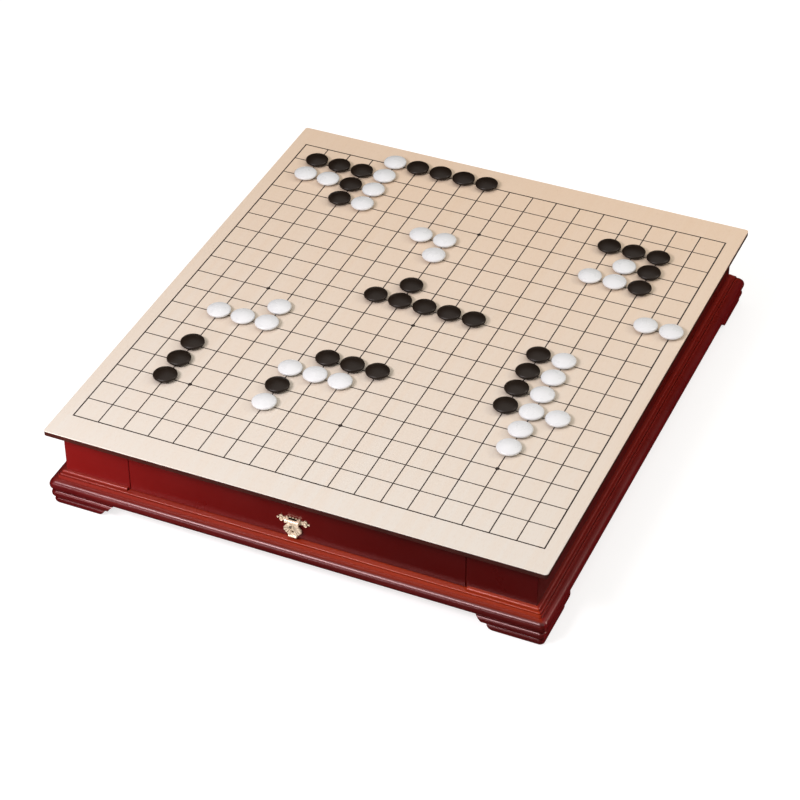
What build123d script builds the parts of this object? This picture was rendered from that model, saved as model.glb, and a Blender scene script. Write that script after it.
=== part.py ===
"""Go board on a low drawer case, with one stone drawer at the front and one at the rear.

Millimetres, +Z up. The origin is on the floor under the middle of the case, +X runs to the
right along the front, and the front drawer opens towards -Y.
"""

from build123d import *
import os

os.makedirs("parts", exist_ok=True)

# ---------------------------------------------------------------- driving dimensions

# Playing grid: the cells are longer front to back than they are wide.
grid_lines = 19
pitch_x = 22.0
pitch_y = 23.7
margin_x = 12.5
margin_y = 26.5

# Playing board: a painted core with a pale veneer on top.
core_t = 4.4
veneer_t = 0.6
board_corner_r = 2.5
board_edge_r = 0.9
veneer_edge_r = 0.3

# Case: upright walls under the board, set back by the overhang.
overhang = 11.0
wall_h = 41.0
wall_t = 12.0
opening_w = 285.0
divider_t = 6.0
corner_block_w = 18.0
guide_w = 12.0
guide_h = 20.0

# Base frame: a mitred moulding with a flat ledge, an upright fascia and a half-round torus.
base_h = 14.5
base_inward = 22.0
ledge_out = 6.0
ledge_r = 1.0
torus_out = 7.0
torus_r = 5.2
panel_t = 4.0
panel_seat = 14.0
panel_gap = 0.2

# Bead: a half-round strip in the corner between ledge and wall.
bead_flat = 1.8
bead_r = 1.2
bead_end_gap = 1.5

# Bracket feet: two stacked half-round reeds, mitred at the corner, stepped at the inner end.
foot_h = 14.0
foot_len = 45.6
foot_inward = 8.0
upper_reed_out = 7.7
lower_reed_out = 6.0
upper_end_run = 5.8
reed_step = 2.6
lower_end_run = 7.2
reed_end_bow = 0.8
foot_trim = 2.0
foot_block_w = 20.0
foot_block_lift = 1.0

# Drawers: a front flush with the case wall and a plain box behind it.
joint_gap = 0.4
run_gap = 0.3
top_gap = 0.8
guide_gap = 0.8
drawer_stop_gap = 2.0
drawer_side_t = 8.0
drawer_side_h = 33.0
drawer_bottom_t = 3.0
drawer_bottom_lift = 4.0
groove_depth = 4.0
groove_fit = 0.1

# Drop pull: a plate with three-lobed ends and two ears, and a fan-shaped drop on a cross pin.
pull_height = 17.2
plate_w = 12.8
plate_h = 4.0
plate_t = 0.8
bar_h = 3.2
lobe_x = 10.2
lobe_up = 1.5
lobe_r = 1.55
tip_x = 13.9
tip_r = 0.7
tip_h = 2.6
scallop_count = 5
scallop_r = 1.2
axle_up = 0.4
axle_r = 0.8
axle_fit = 0.05
ear_fit = 0.02
ear_r = 1.8
ear_t = 2.3
barrel_r = 1.6
barrel_half = 3.3
barrel_gap = 0.4
ear_gap = 0.2
blade_t = 1.2
blade_neck_half = 3.0
blade_wide_half = 7.5
blade_wide_drop = 7.2
blade_low_drop = 9.6
blade_foot_half = 4.2
blade_foot_drop = 12.9
blade_hole_drop = 10.0
blade_hole_r = 0.9
lip_half = 3.4
lip_drop = 14.9
lip_h = 2.0
lip_out = 2.2
nail_head_r = 1.1
nail_head_h = 0.8
nail_shank_r = 0.5
nail_length = 8.0
nail_fit = 0.05

# Stones: lens-shaped, a little smaller than a cell is wide.
stone_d = 21.6
stone_t = 7.8
stone_rim_r = 1.4
stone_gap = 0.2

# Stones on the board in straight runs: first column, first row, step across, step back, count.
# Columns count from the left line and rows from the front line, both from 0.
black_runs = [
    (1, 17, 1, 0, 3),
    (3, 16, 0, -1, 2),
    (5, 18, 1, 0, 4),
    (14, 16, 1, 0, 3),
    (16, 15, 0, -1, 2),
    (8, 11, 1, 0, 1),
    (7, 10, 1, 0, 5),
    (2, 5, 0, -1, 3),
    (7, 6, 1, 0, 3),
    (6, 4, 1, 0, 1),
    (14, 9, 0, -1, 4),
]
white_runs = [
    (4, 18, 0, -1, 4),
    (1, 16, 1, 0, 2),
    (7, 14, 1, 0, 2),
    (8, 13, 1, 0, 1),
    (14, 14, 1, 0, 2),
    (15, 15, 1, 0, 1),
    (17, 12, 1, 0, 2),
    (4, 8, 1, 0, 1),
    (2, 7, 1, 0, 3),
    (6, 5, 1, 0, 3),
    (6, 3, 1, 0, 1),
    (15, 9, 0, -1, 6),
    (16, 6, 1, 0, 1),
]

# ---------------------------------------------------------------- sizes that follow

board_w = (grid_lines - 1) * pitch_x + 2 * margin_x
board_d = (grid_lines - 1) * pitch_y + 2 * margin_y
case_w = board_w - 2 * overhang
case_d = board_d - 2 * overhang
half_run = {"front": case_w / 2, "rear": case_w / 2, "left": case_d / 2, "right": case_d / 2}

ledge_z = foot_h + base_h
board_z = ledge_z + wall_h
top_z = board_z + core_t + veneer_t

base_reach = torus_out + torus_r
foot_reach = upper_reed_out + foot_h / 4
panel_inset = panel_seat - (base_inward - wall_t)

box_w = opening_w - 2 * guide_gap
box_inner_w = box_w - 2 * drawer_side_t
drawer_z = ledge_z + run_gap
drawer_len = case_d / 2 - divider_t / 2 - drawer_stop_gap
box_len = drawer_len - wall_t
bottom_z = drawer_z + drawer_bottom_lift

pull_z = ledge_z + pull_height
axle_z = pull_z + axle_up
axle_out = plate_t + barrel_gap + barrel_r
ear_x = barrel_half + ear_gap + ear_t / 2


# ---------------------------------------------------------------- shared planes and helpers


def wall_plane(side):
    """Outer face of one case wall: local x to the right, y up, z outward."""
    planes = {
        "front": Plane(origin=(0, -case_d / 2, 0), x_dir=(1, 0, 0), z_dir=(0, -1, 0)),
        "rear": Plane(origin=(0, case_d / 2, 0), x_dir=(-1, 0, 0), z_dir=(0, 1, 0)),
        "left": Plane(origin=(-case_w / 2, 0, 0), x_dir=(0, -1, 0), z_dir=(-1, 0, 0)),
        "right": Plane(origin=(case_w / 2, 0, 0), x_dir=(0, 1, 0), z_dir=(1, 0, 0)),
    }
    return planes[side]


def section_plane(wall, along=0.0):
    """Upright plane across a wall, at a distance along it: local x outward, y up."""
    return Plane(origin=wall.origin + wall.x_dir * along, x_dir=wall.z_dir, z_dir=wall.x_dir * -1)


def mitre(side, ends):
    """Cut the piece being built along the corner diagonal at each end, -1 left and 1 right."""
    wall = wall_plane(side)
    for end in ends:
        corner = wall.origin + wall.x_dir * (end * half_run[side])
        diagonal = Plane(origin=corner, z_dir=wall.x_dir * end - wall.z_dir)
        split(bisect_by=diagonal, keep=Keep.BOTTOM)


def save(piece, name):
    piece.part.label = name
    export_step(piece.part, f"parts/{name}.step")


def end_name(side, end):
    """Name of the corner that the left (-1) or right (1) end of a wall meets."""
    order = ["front", "right", "rear", "left"]
    return order[(order.index(side) + end) % 4]


# ---------------------------------------------------------------- playing board


def board_core():
    with BuildPart() as piece:
        with BuildSketch(Plane.XY.offset(board_z)):
            RectangleRounded(board_w, board_d, board_corner_r)
        extrude(amount=core_t)
        fillet(piece.faces().sort_by(Axis.Z)[0].edges(), board_edge_r)
    return piece


def board_veneer():
    with BuildPart() as piece:
        with BuildSketch(Plane.XY.offset(board_z + core_t)):
            RectangleRounded(board_w, board_d, board_corner_r)
        extrude(amount=veneer_t)
        fillet(piece.faces().sort_by(Axis.Z)[-1].edges(), veneer_edge_r)
    return piece


# ---------------------------------------------------------------- case walls


def case_side(side):
    """Full-depth side panel, mitred at both ends."""
    with BuildPart() as piece:
        with BuildSketch(wall_plane(side)):
            with Locations((0, ledge_z + wall_h / 2)):
                Rectangle(2 * half_run[side], wall_h)
        extrude(amount=-wall_t)
        mitre(side, (-1, 1))
    return piece


def stile(side, end):
    """Block beside a drawer opening, mitred to the side panel."""
    width = half_run[side] - opening_w / 2
    with BuildPart() as piece:
        with BuildSketch(wall_plane(side)):
            with Locations((end * (opening_w / 2 + width / 2), ledge_z + wall_h / 2)):
                Rectangle(width, wall_h)
        extrude(amount=-wall_t)
        mitre(side, (end,))
    return piece


def centre_divider():
    with BuildPart() as piece:
        with BuildSketch(Plane.XY.offset(ledge_z)):
            Rectangle(case_w - 2 * wall_t, divider_t)
        extrude(amount=wall_h)
    return piece


def corner_block(side, end):
    """Three-cornered glue block that stiffens the mitre from inside."""
    wall = wall_plane(side)
    x = end * (half_run[side] - wall_t)
    with BuildPart() as piece:
        with BuildSketch(Plane(wall.origin, x_dir=wall.x_dir, z_dir=(0, 0, 1)).offset(ledge_z)):
            with BuildLine():
                Polyline(
                    (x, wall_t),
                    (x, wall_t + corner_block_w),
                    (x - end * corner_block_w, wall_t),
                    close=True,
                )
            make_face()
        extrude(amount=wall_h)
    return piece


def drawer_guide(side, end):
    """Strip on the bottom panel that keeps the drawer box straight."""
    length = case_d / 2 - wall_t - divider_t / 2
    with BuildPart() as piece:
        with BuildSketch(wall_plane(side).offset(-wall_t)):
            with Locations((end * (opening_w + guide_w) / 2, ledge_z + guide_h / 2)):
                Rectangle(guide_w, guide_h)
        extrude(amount=-length)
    return piece


# ---------------------------------------------------------------- base frame and feet


def base_moulding(side):
    """Mitred base moulding with a rebate that holds the bottom panel."""
    torus_z = foot_h + torus_r
    with BuildPart() as piece:
        with BuildSketch(section_plane(wall_plane(side))):
            with BuildLine():
                ThreePointArc(
                    (torus_out, foot_h),
                    (torus_out + torus_r, torus_z),
                    (torus_out, torus_z + torus_r),
                )
                Polyline(
                    (torus_out, torus_z + torus_r),
                    (ledge_out, torus_z + torus_r),
                    (ledge_out, ledge_z - ledge_r),
                )
                RadiusArc((ledge_out, ledge_z - ledge_r), (ledge_out - ledge_r, ledge_z), -ledge_r)
                Polyline(
                    (ledge_out - ledge_r, ledge_z),
                    (-panel_inset, ledge_z),
                    (-panel_inset, ledge_z - panel_t),
                    (-base_inward, ledge_z - panel_t),
                    (-base_inward, foot_h),
                    (torus_out, foot_h),
                )
            make_face()
        extrude(amount=half_run[side] + base_reach, both=True)
        mitre(side, (-1, 1))
    return piece


def bottom_panel():
    inset = panel_inset + panel_gap
    with BuildPart() as piece:
        with BuildSketch(Plane.XY.offset(ledge_z - panel_t)):
            Rectangle(case_w - 2 * inset, case_d - 2 * inset)
        extrude(amount=panel_t)
    return piece


def bead(side, end=0):
    """Half-round strip on the ledge: whole on a side wall, beside the drawer on the others."""
    start = end * (opening_w / 2 + bead_end_gap)
    with BuildPart() as piece:
        with BuildSketch(section_plane(wall_plane(side), start)):
            with BuildLine():
                ThreePointArc(
                    (bead_flat, ledge_z),
                    (bead_flat + bead_r, ledge_z + bead_r),
                    (bead_flat, ledge_z + 2 * bead_r),
                )
                Polyline(
                    (bead_flat, ledge_z + 2 * bead_r),
                    (0, ledge_z + 2 * bead_r),
                    (0, ledge_z),
                    (bead_flat, ledge_z),
                )
            make_face()
        if end == 0:
            extrude(amount=half_run[side] + bead_flat + bead_r, both=True)
            mitre(side, (-1, 1))
        else:
            extrude(amount=-end * (half_run[side] - abs(start) + bead_flat + bead_r))
            mitre(side, (end,))
    return piece


def foot(side, end):
    """One half of a bracket foot: two reeds, mitred outside and stepped inside."""
    reed_r = foot_h / 4
    corner = end * half_run[side]
    wall = wall_plane(side)
    with BuildPart() as piece:
        with BuildSketch(section_plane(wall, corner - end * (foot_len + foot_trim))):
            with BuildLine():
                ThreePointArc(
                    (lower_reed_out, 0),
                    (lower_reed_out + reed_r, reed_r),
                    (lower_reed_out, 2 * reed_r),
                )
                Line((lower_reed_out, 2 * reed_r), (upper_reed_out, 2 * reed_r))
                ThreePointArc(
                    (upper_reed_out, 2 * reed_r),
                    (upper_reed_out + reed_r, 3 * reed_r),
                    (upper_reed_out, foot_h),
                )
                Polyline(
                    (upper_reed_out, foot_h),
                    (-foot_inward, foot_h),
                    (-foot_inward, 0),
                    (lower_reed_out, 0),
                )
            make_face()
        extrude(amount=-end * (foot_trim + foot_len + foot_reach))
        mitre(side, (end,))
        with BuildSketch(wall):
            with BuildLine():
                inner_x = corner - end * foot_len
                upper_x = inner_x + end * upper_end_run
                step_x = upper_x + end * reed_step
                lower_x = step_x + end * lower_end_run
                trim_x = inner_x - end * foot_trim
                upper_mid = ((inner_x + upper_x) / 2, 3 * foot_h / 4)
                lower_mid = ((step_x + lower_x) / 2, foot_h / 4)
                ThreePointArc(
                    (inner_x, foot_h),
                    (upper_mid[0] + end * reed_end_bow, upper_mid[1]),
                    (upper_x, foot_h / 2),
                )
                Line((upper_x, foot_h / 2), (step_x, foot_h / 2))
                ThreePointArc(
                    (step_x, foot_h / 2),
                    (lower_mid[0] - end * reed_end_bow, lower_mid[1]),
                    (lower_x, 0),
                )
                Polyline((lower_x, 0), (trim_x, 0), (trim_x, foot_h), (inner_x, foot_h))
            make_face()
        extrude(amount=foot_reach + foot_inward, both=True, mode=Mode.SUBTRACT)
    return piece


def foot_block(side, end):
    """Square block behind the two halves of a foot, just clear of the floor."""
    wall = wall_plane(side)
    x = end * (half_run[side] - foot_inward - foot_block_w / 2)
    with BuildPart() as piece:
        with BuildSketch(
            Plane(wall.origin, x_dir=wall.x_dir, z_dir=(0, 0, 1)).offset(foot_block_lift)
        ):
            with Locations((x, foot_inward + foot_block_w / 2)):
                Rectangle(foot_block_w, foot_block_w)
        extrude(amount=foot_h - foot_block_lift)
    return piece


# ---------------------------------------------------------------- drawers


def drawer_front(side):
    """Flush front, grooved for the drawer bottom, with holes for the pull's nails."""
    wall = wall_plane(side)
    width = opening_w - 2 * joint_gap
    height = board_z - top_gap - drawer_z
    with BuildPart() as piece:
        with BuildSketch(wall):
            with Locations((0, drawer_z + height / 2)):
                Rectangle(width, height)
        extrude(amount=-wall_t)
        with BuildSketch(wall.offset(-wall_t)):
            with Locations((0, bottom_z + drawer_bottom_t / 2)):
                Rectangle(box_inner_w + 2 * groove_depth, drawer_bottom_t + 2 * groove_fit)
        extrude(amount=groove_depth, mode=Mode.SUBTRACT)
        with BuildSketch(wall):
            with Locations((-lobe_x, pull_z), (lobe_x, pull_z)):
                Circle(nail_shank_r + nail_fit)
        extrude(amount=-(nail_length + nail_fit), mode=Mode.SUBTRACT)
    return piece


def drawer_side(side, end):
    """Box side with a groove along its inner face."""
    x = end * (box_w - drawer_side_t) / 2
    groove_x = end * (box_inner_w + groove_depth) / 2
    back = wall_plane(side).offset(-wall_t)
    with BuildPart() as piece:
        with BuildSketch(back):
            with Locations((x, drawer_z + drawer_side_h / 2)):
                Rectangle(drawer_side_t, drawer_side_h)
        extrude(amount=-box_len)
        with BuildSketch(back):
            with Locations((groove_x, bottom_z + drawer_bottom_t / 2)):
                Rectangle(groove_depth, drawer_bottom_t + 2 * groove_fit)
        extrude(amount=-box_len, mode=Mode.SUBTRACT)
    return piece


def drawer_back(side):
    """Box back, standing on the drawer bottom between the sides."""
    low = bottom_z + drawer_bottom_t + groove_fit
    height = drawer_z + drawer_side_h - low
    with BuildPart() as piece:
        with BuildSketch(wall_plane(side).offset(-drawer_len)):
            with Locations((0, low + height / 2)):
                Rectangle(box_inner_w, height)
        extrude(amount=drawer_side_t)
    return piece


def drawer_bottom(side):
    """Thin panel held in the grooves of the front and the sides."""
    width = box_inner_w + 2 * (groove_depth - groove_fit)
    reach = groove_depth - groove_fit
    with BuildPart() as piece:
        with BuildSketch(wall_plane(side).offset(-wall_t + reach)):
            with Locations((0, bottom_z + drawer_bottom_t / 2)):
                Rectangle(width, drawer_bottom_t)
        extrude(amount=-(box_len + reach))
    return piece


# ---------------------------------------------------------------- drop pulls


def pull_plate(side):
    """Backplate with a scalloped top, three-lobed ends and two ears for the cross pin."""
    wall = wall_plane(side)
    section = section_plane(wall)
    with BuildPart() as piece:
        with BuildSketch(wall):
            with Locations((0, pull_z)):
                Rectangle(plate_w, plate_h)
                Rectangle(2 * lobe_x, bar_h)
            scallop_pitch = (plate_w - 2 * scallop_r) / (scallop_count - 1)
            with Locations((0, pull_z + plate_h / 2)):
                with GridLocations(scallop_pitch, 1, scallop_count, 1):
                    Circle(scallop_r)
            with Locations((0, pull_z)):
                with GridLocations(2 * lobe_x, 2 * lobe_up, 2, 2):
                    Circle(lobe_r)
            for end in (-1, 1):
                with BuildLine():
                    Polyline(
                        (end * lobe_x, pull_z + tip_h / 2),
                        (end * (tip_x - tip_r), pull_z),
                        (end * lobe_x, pull_z - tip_h / 2),
                        close=True,
                    )
                make_face()
                with Locations((end * (tip_x - tip_r), pull_z)):
                    Circle(tip_r)
            with Locations((-lobe_x, pull_z), (lobe_x, pull_z)):
                Circle(nail_shank_r + nail_fit, mode=Mode.SUBTRACT)
        extrude(amount=plate_t)
        for x in (-ear_x, ear_x):
            with BuildSketch(section_plane(wall, x)):
                with Locations((axle_out / 2, axle_z)):
                    Rectangle(axle_out, 2 * ear_r)
                with Locations((axle_out, axle_z)):
                    Circle(ear_r)
            extrude(amount=ear_t / 2, both=True)
        with BuildSketch(section):
            with Locations((axle_out, axle_z)):
                Circle(axle_r + ear_fit)
        extrude(amount=ear_x + ear_t, both=True, mode=Mode.SUBTRACT)
    return piece


def pull_pin(side):
    with BuildPart() as piece:
        with BuildSketch(section_plane(wall_plane(side))):
            with Locations((axle_out, axle_z)):
                Circle(axle_r)
        extrude(amount=ear_x + ear_t / 2, both=True)
    return piece


def pull_drop(side):
    """Fan-shaped drop hung from the back of its barrel, with a small hole and an outward lip."""
    wall = wall_plane(side)
    blade_plane = wall.offset(axle_out - barrel_r)
    with BuildPart() as piece:
        with BuildSketch(section_plane(wall)):
            with Locations((axle_out, axle_z)):
                Circle(barrel_r)
        extrude(amount=barrel_half, both=True)
        with BuildSketch(blade_plane):
            with BuildLine():
                Polyline(
                    (-blade_neck_half, axle_z),
                    (-blade_neck_half, axle_z - barrel_r),
                    (-blade_wide_half, axle_z - blade_wide_drop),
                    (-blade_wide_half, axle_z - blade_low_drop),
                    (-blade_foot_half, axle_z - blade_foot_drop),
                    (blade_foot_half, axle_z - blade_foot_drop),
                    (blade_wide_half, axle_z - blade_low_drop),
                    (blade_wide_half, axle_z - blade_wide_drop),
                    (blade_neck_half, axle_z - barrel_r),
                    (blade_neck_half, axle_z),
                    close=True,
                )
            make_face()
        extrude(amount=blade_t)
        with BuildSketch(blade_plane):
            with Locations((0, axle_z - lip_drop + lip_h / 2)):
                Rectangle(2 * lip_half, lip_h)
        extrude(amount=lip_out)
        with BuildSketch(blade_plane):
            with Locations((0, axle_z - blade_hole_drop)):
                Circle(blade_hole_r)
        extrude(amount=blade_t, mode=Mode.SUBTRACT)
        with BuildSketch(section_plane(wall)):
            with Locations((axle_out, axle_z)):
                Circle(axle_r + axle_fit)
        extrude(amount=barrel_half, both=True, mode=Mode.SUBTRACT)
    return piece


def pull_nails(side):
    """Two round-headed brads through the plate's lobes."""
    wall = wall_plane(side)
    with BuildPart() as piece:
        with BuildSketch(wall.offset(plate_t)):
            with Locations((-lobe_x, pull_z), (lobe_x, pull_z)):
                Circle(nail_head_r)
        extrude(amount=nail_head_h)
        outer_face = piece.faces().sort_by(Axis(wall.origin, wall.z_dir))[-2:]
        fillet(outer_face.edges(), nail_head_r - nail_shank_r)
        with BuildSketch(wall.offset(plate_t)):
            with Locations((-lobe_x, pull_z), (lobe_x, pull_z)):
                Circle(nail_shank_r)
        extrude(amount=-(plate_t + nail_length))
    return piece


# ---------------------------------------------------------------- stones


def stone():
    """One lens-shaped stone, centred on the origin."""
    with BuildPart() as piece:
        with BuildSketch(Plane.XZ):
            with BuildLine():
                ThreePointArc(*lens_arc(1))
                ThreePointArc(*lens_arc(-1))
                Line((0, stone_t / 2), (0, -stone_t / 2))
            make_face()
        revolve(axis=Axis.Z)
        fillet(piece.edges().filter_by(GeomType.CIRCLE), stone_rim_r)
    return piece


def lens_arc(up):
    """Three points of the lens face: rim, halfway and crown."""
    half_d = stone_d / 2 + stone_rim_allowance()
    crown = stone_t / 2
    sphere_r = (half_d**2 + crown**2) / (2 * crown)
    half_x = half_d / 2
    half_z = (sphere_r**2 - half_x**2) ** 0.5 - (sphere_r - crown)
    return (half_d, 0), (half_x, up * half_z), (0, up * crown)


def stone_rim_allowance():
    """How far the sharp rim stands out before rounding brings it to the stone's diameter."""
    slope = 2 * stone_t / stone_d
    return stone_rim_r * ((1 + slope**2) ** 0.5 / slope - 1)


def on_board(runs):
    """Places of the stones' centres, from runs along the grid."""
    height = top_z + stone_gap + stone_t / 2
    middle = (grid_lines - 1) / 2
    places = []
    for column, row, step_x, step_y, count in runs:
        for number in range(count):
            x = (column + number * step_x - middle) * pitch_x
            y = (row + number * step_y - middle) * pitch_y
            places.append((x, y, height))
    return places


def stones(runs):
    single = stone()
    with BuildPart() as group:
        with Locations(*on_board(runs)):
            add(single.part)
    return group


# ---------------------------------------------------------------- build every piece

save(board_core(), "board_core")
save(board_veneer(), "board_veneer")
save(centre_divider(), "centre_divider")
save(bottom_panel(), "bottom_panel")
save(stones(black_runs), "black_stones")
save(stones(white_runs), "white_stones")

for side in ("left", "right"):
    save(case_side(side), f"case_side_{side}")
    save(bead(side), f"bead_{side}")

for side in ("front", "rear", "left", "right"):
    save(base_moulding(side), f"base_moulding_{side}")
    for end in (-1, 1):
        save(foot(side, end), f"foot_{side}_{end_name(side, end)}")

for side in ("front", "rear"):
    for end in (-1, 1):
        corner_name = f"{side}_{end_name(side, end)}"
        save(stile(side, end), f"stile_{corner_name}")
        save(bead(side, end), f"bead_{corner_name}")
        save(corner_block(side, end), f"corner_block_{corner_name}")
        save(foot_block(side, end), f"foot_block_{corner_name}")
        save(drawer_guide(side, end), f"drawer_guide_{corner_name}")
        save(drawer_side(side, end), f"{side}_drawer_side_{end_name(side, end)}")
    save(drawer_front(side), f"{side}_drawer_front")
    save(drawer_back(side), f"{side}_drawer_back")
    save(drawer_bottom(side), f"{side}_drawer_bottom")
    save(pull_plate(side), f"{side}_pull_plate")
    save(pull_pin(side), f"{side}_pull_pin")
    save(pull_drop(side), f"{side}_pull_drop")
    save(pull_nails(side), f"{side}_pull_nails")

print(f"board {board_w:.1f} x {board_d:.1f} mm, top face at {top_z:.1f} mm")
print(f"case {case_w:.1f} x {case_d:.1f} mm, drawer box {box_w:.1f} x {drawer_len:.1f} mm")
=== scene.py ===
# %% [markdown]
# # Go board with stone drawers
# A full-size go board lies on a low case of red lacquered wood. The case stands on a
# mitred base moulding with bracket feet, and has a stone drawer at the front and one at
# the rear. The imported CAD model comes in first. It fixes every size, so each piece made
# below is put exactly where its CAD node is.

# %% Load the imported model
from math import atan2, cos, degrees, pi, radians, sin

import bmesh
import bpy
from mathutils import Matrix, Vector


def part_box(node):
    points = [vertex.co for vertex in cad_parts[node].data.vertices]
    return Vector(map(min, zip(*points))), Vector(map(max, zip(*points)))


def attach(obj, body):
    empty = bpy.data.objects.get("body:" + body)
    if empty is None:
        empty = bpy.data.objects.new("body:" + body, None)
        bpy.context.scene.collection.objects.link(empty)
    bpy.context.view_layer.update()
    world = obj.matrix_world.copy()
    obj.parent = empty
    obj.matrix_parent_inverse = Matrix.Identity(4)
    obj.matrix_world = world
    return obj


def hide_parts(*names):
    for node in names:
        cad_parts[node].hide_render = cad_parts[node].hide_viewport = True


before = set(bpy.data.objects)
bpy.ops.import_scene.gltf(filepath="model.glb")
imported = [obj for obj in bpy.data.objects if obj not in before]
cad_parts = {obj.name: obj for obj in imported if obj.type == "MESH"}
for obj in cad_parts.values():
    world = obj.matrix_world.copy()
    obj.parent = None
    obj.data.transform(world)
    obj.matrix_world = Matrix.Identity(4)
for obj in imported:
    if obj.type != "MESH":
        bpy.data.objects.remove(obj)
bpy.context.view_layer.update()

# %% [markdown]
# ## Camera
# The photograph was taken with a long lens from the front right, looking down at about 38
# degrees. The lens and the place were solved from the corners and lines of the playing
# grid. A short lens close by would show the same outline, but the far lines would crowd
# together much more.

# %% Camera
CAMERA_PLACE = (0.6722, -1.53897, 1.32382)
CAMERA_TURN = (51.6882, 0.6984, 24.2091)
SENSOR = 36.0
LENS = 114.868
SHIFT_X = 0.034375

camera_data = bpy.data.cameras.new("camera")
camera_data.sensor_width = SENSOR
camera_data.lens = LENS
camera_data.shift_x = SHIFT_X
camera_data.clip_start = 0.05
camera_data.clip_end = 50.0
camera = bpy.data.objects.new("camera", camera_data)
camera.location = CAMERA_PLACE
camera.rotation_euler = [radians(a) for a in CAMERA_TURN]
bpy.context.scene.collection.objects.link(camera)
bpy.context.scene.camera = camera
print("camera at", CAMERA_PLACE, "with a lens of", LENS, "mm")

# %% [markdown]
# ## Colour and nodes
# Colours are noted as the eye reads them on a screen, in sRGB hex, and turned to the
# linear values that Blender works with. Each material is a small graph of nodes. One
# helper adds a node, sets its properties and joins its inputs, so a whole material can be
# read from top to bottom.

# %% Helpers for materials
MM = 0.001


def colour(code):
    """Linear colour from an sRGB hex code."""
    parts = [int(code[i:i + 2], 16) / 255 for i in (1, 3, 5)]
    linear = [c / 12.92 if c <= 0.04045 else ((c + 0.055) / 1.055) ** 2.4 for c in parts]
    return (*linear, 1.0)


def add(tree, kind, inputs=None, **settings):
    """Add a node. Inputs are values or the outputs of other nodes."""
    made = tree.nodes.new(kind)
    for name, value in settings.items():
        setattr(made, name, value)
    for key, value in (inputs or {}).items():
        if isinstance(value, bpy.types.NodeSocket):
            tree.links.new(value, made.inputs[key])
        else:
            made.inputs[key].default_value = value
    return made


def new_material(name):
    made = bpy.data.materials.new(name)
    made.use_nodes = True
    return made, made.node_tree, made.node_tree.nodes["Principled BSDF"]


# Numbers of the colour sockets on a Mix node that is set to colour.
FACTOR, A, B, MIXED = 0, 6, 7, 2

# %% [markdown]
# ## Red toned lacquer
# The case is a light softwood, stained red and sprayed with a red toned lacquer, then
# rubbed to a satin gloss. The eye reads a deep, slightly uneven red. On the narrow ledge
# and fascia above the half-round the colour turns orange: partly a thinner toner, and
# partly painted light, as faces that look up get more of it, standing in for the lamp
# overhead. Faint streaks of grain run along each piece, and the lacquer keeps a trace of
# orange peel and a few dust nibs. The streaks come from noise that is stretched along the
# grain, so a tone has one material for pieces that run left to right and one for pieces
# that run front to back. The deep and pale toner are painted lighter towards the left end,
# standing in for the lamp near the left corner, while the thin tone turns redder there. On
# the right-hand side mouldings the deep and pale toner are painted lighter as well, for
# the light on that side, and the side mouldings' thin tone is redder than at front and rear.

# %% Red toned lacquer
GRAIN_LENGTH = 70 * MM
GRAIN_WIDTH = 1.6 * MM
CLOUD = 45 * MM
PEEL = 2.2 * MM
NIB = 11 * MM
GRAIN_DEPTH = 0.012 * MM
PEEL_DEPTH = 0.015 * MM
NIB_HEIGHT = 0.015 * MM
# Heights between which the toner turns thin, and x at the lighter left end, where the painted
# light from the left is strongest, and at the deep end.
THIN_FROM = 23.5 * MM
THIN_TO = 25.0 * MM
LIGHT_END = -200 * MM
DEEP_END = 90 * MM


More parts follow.
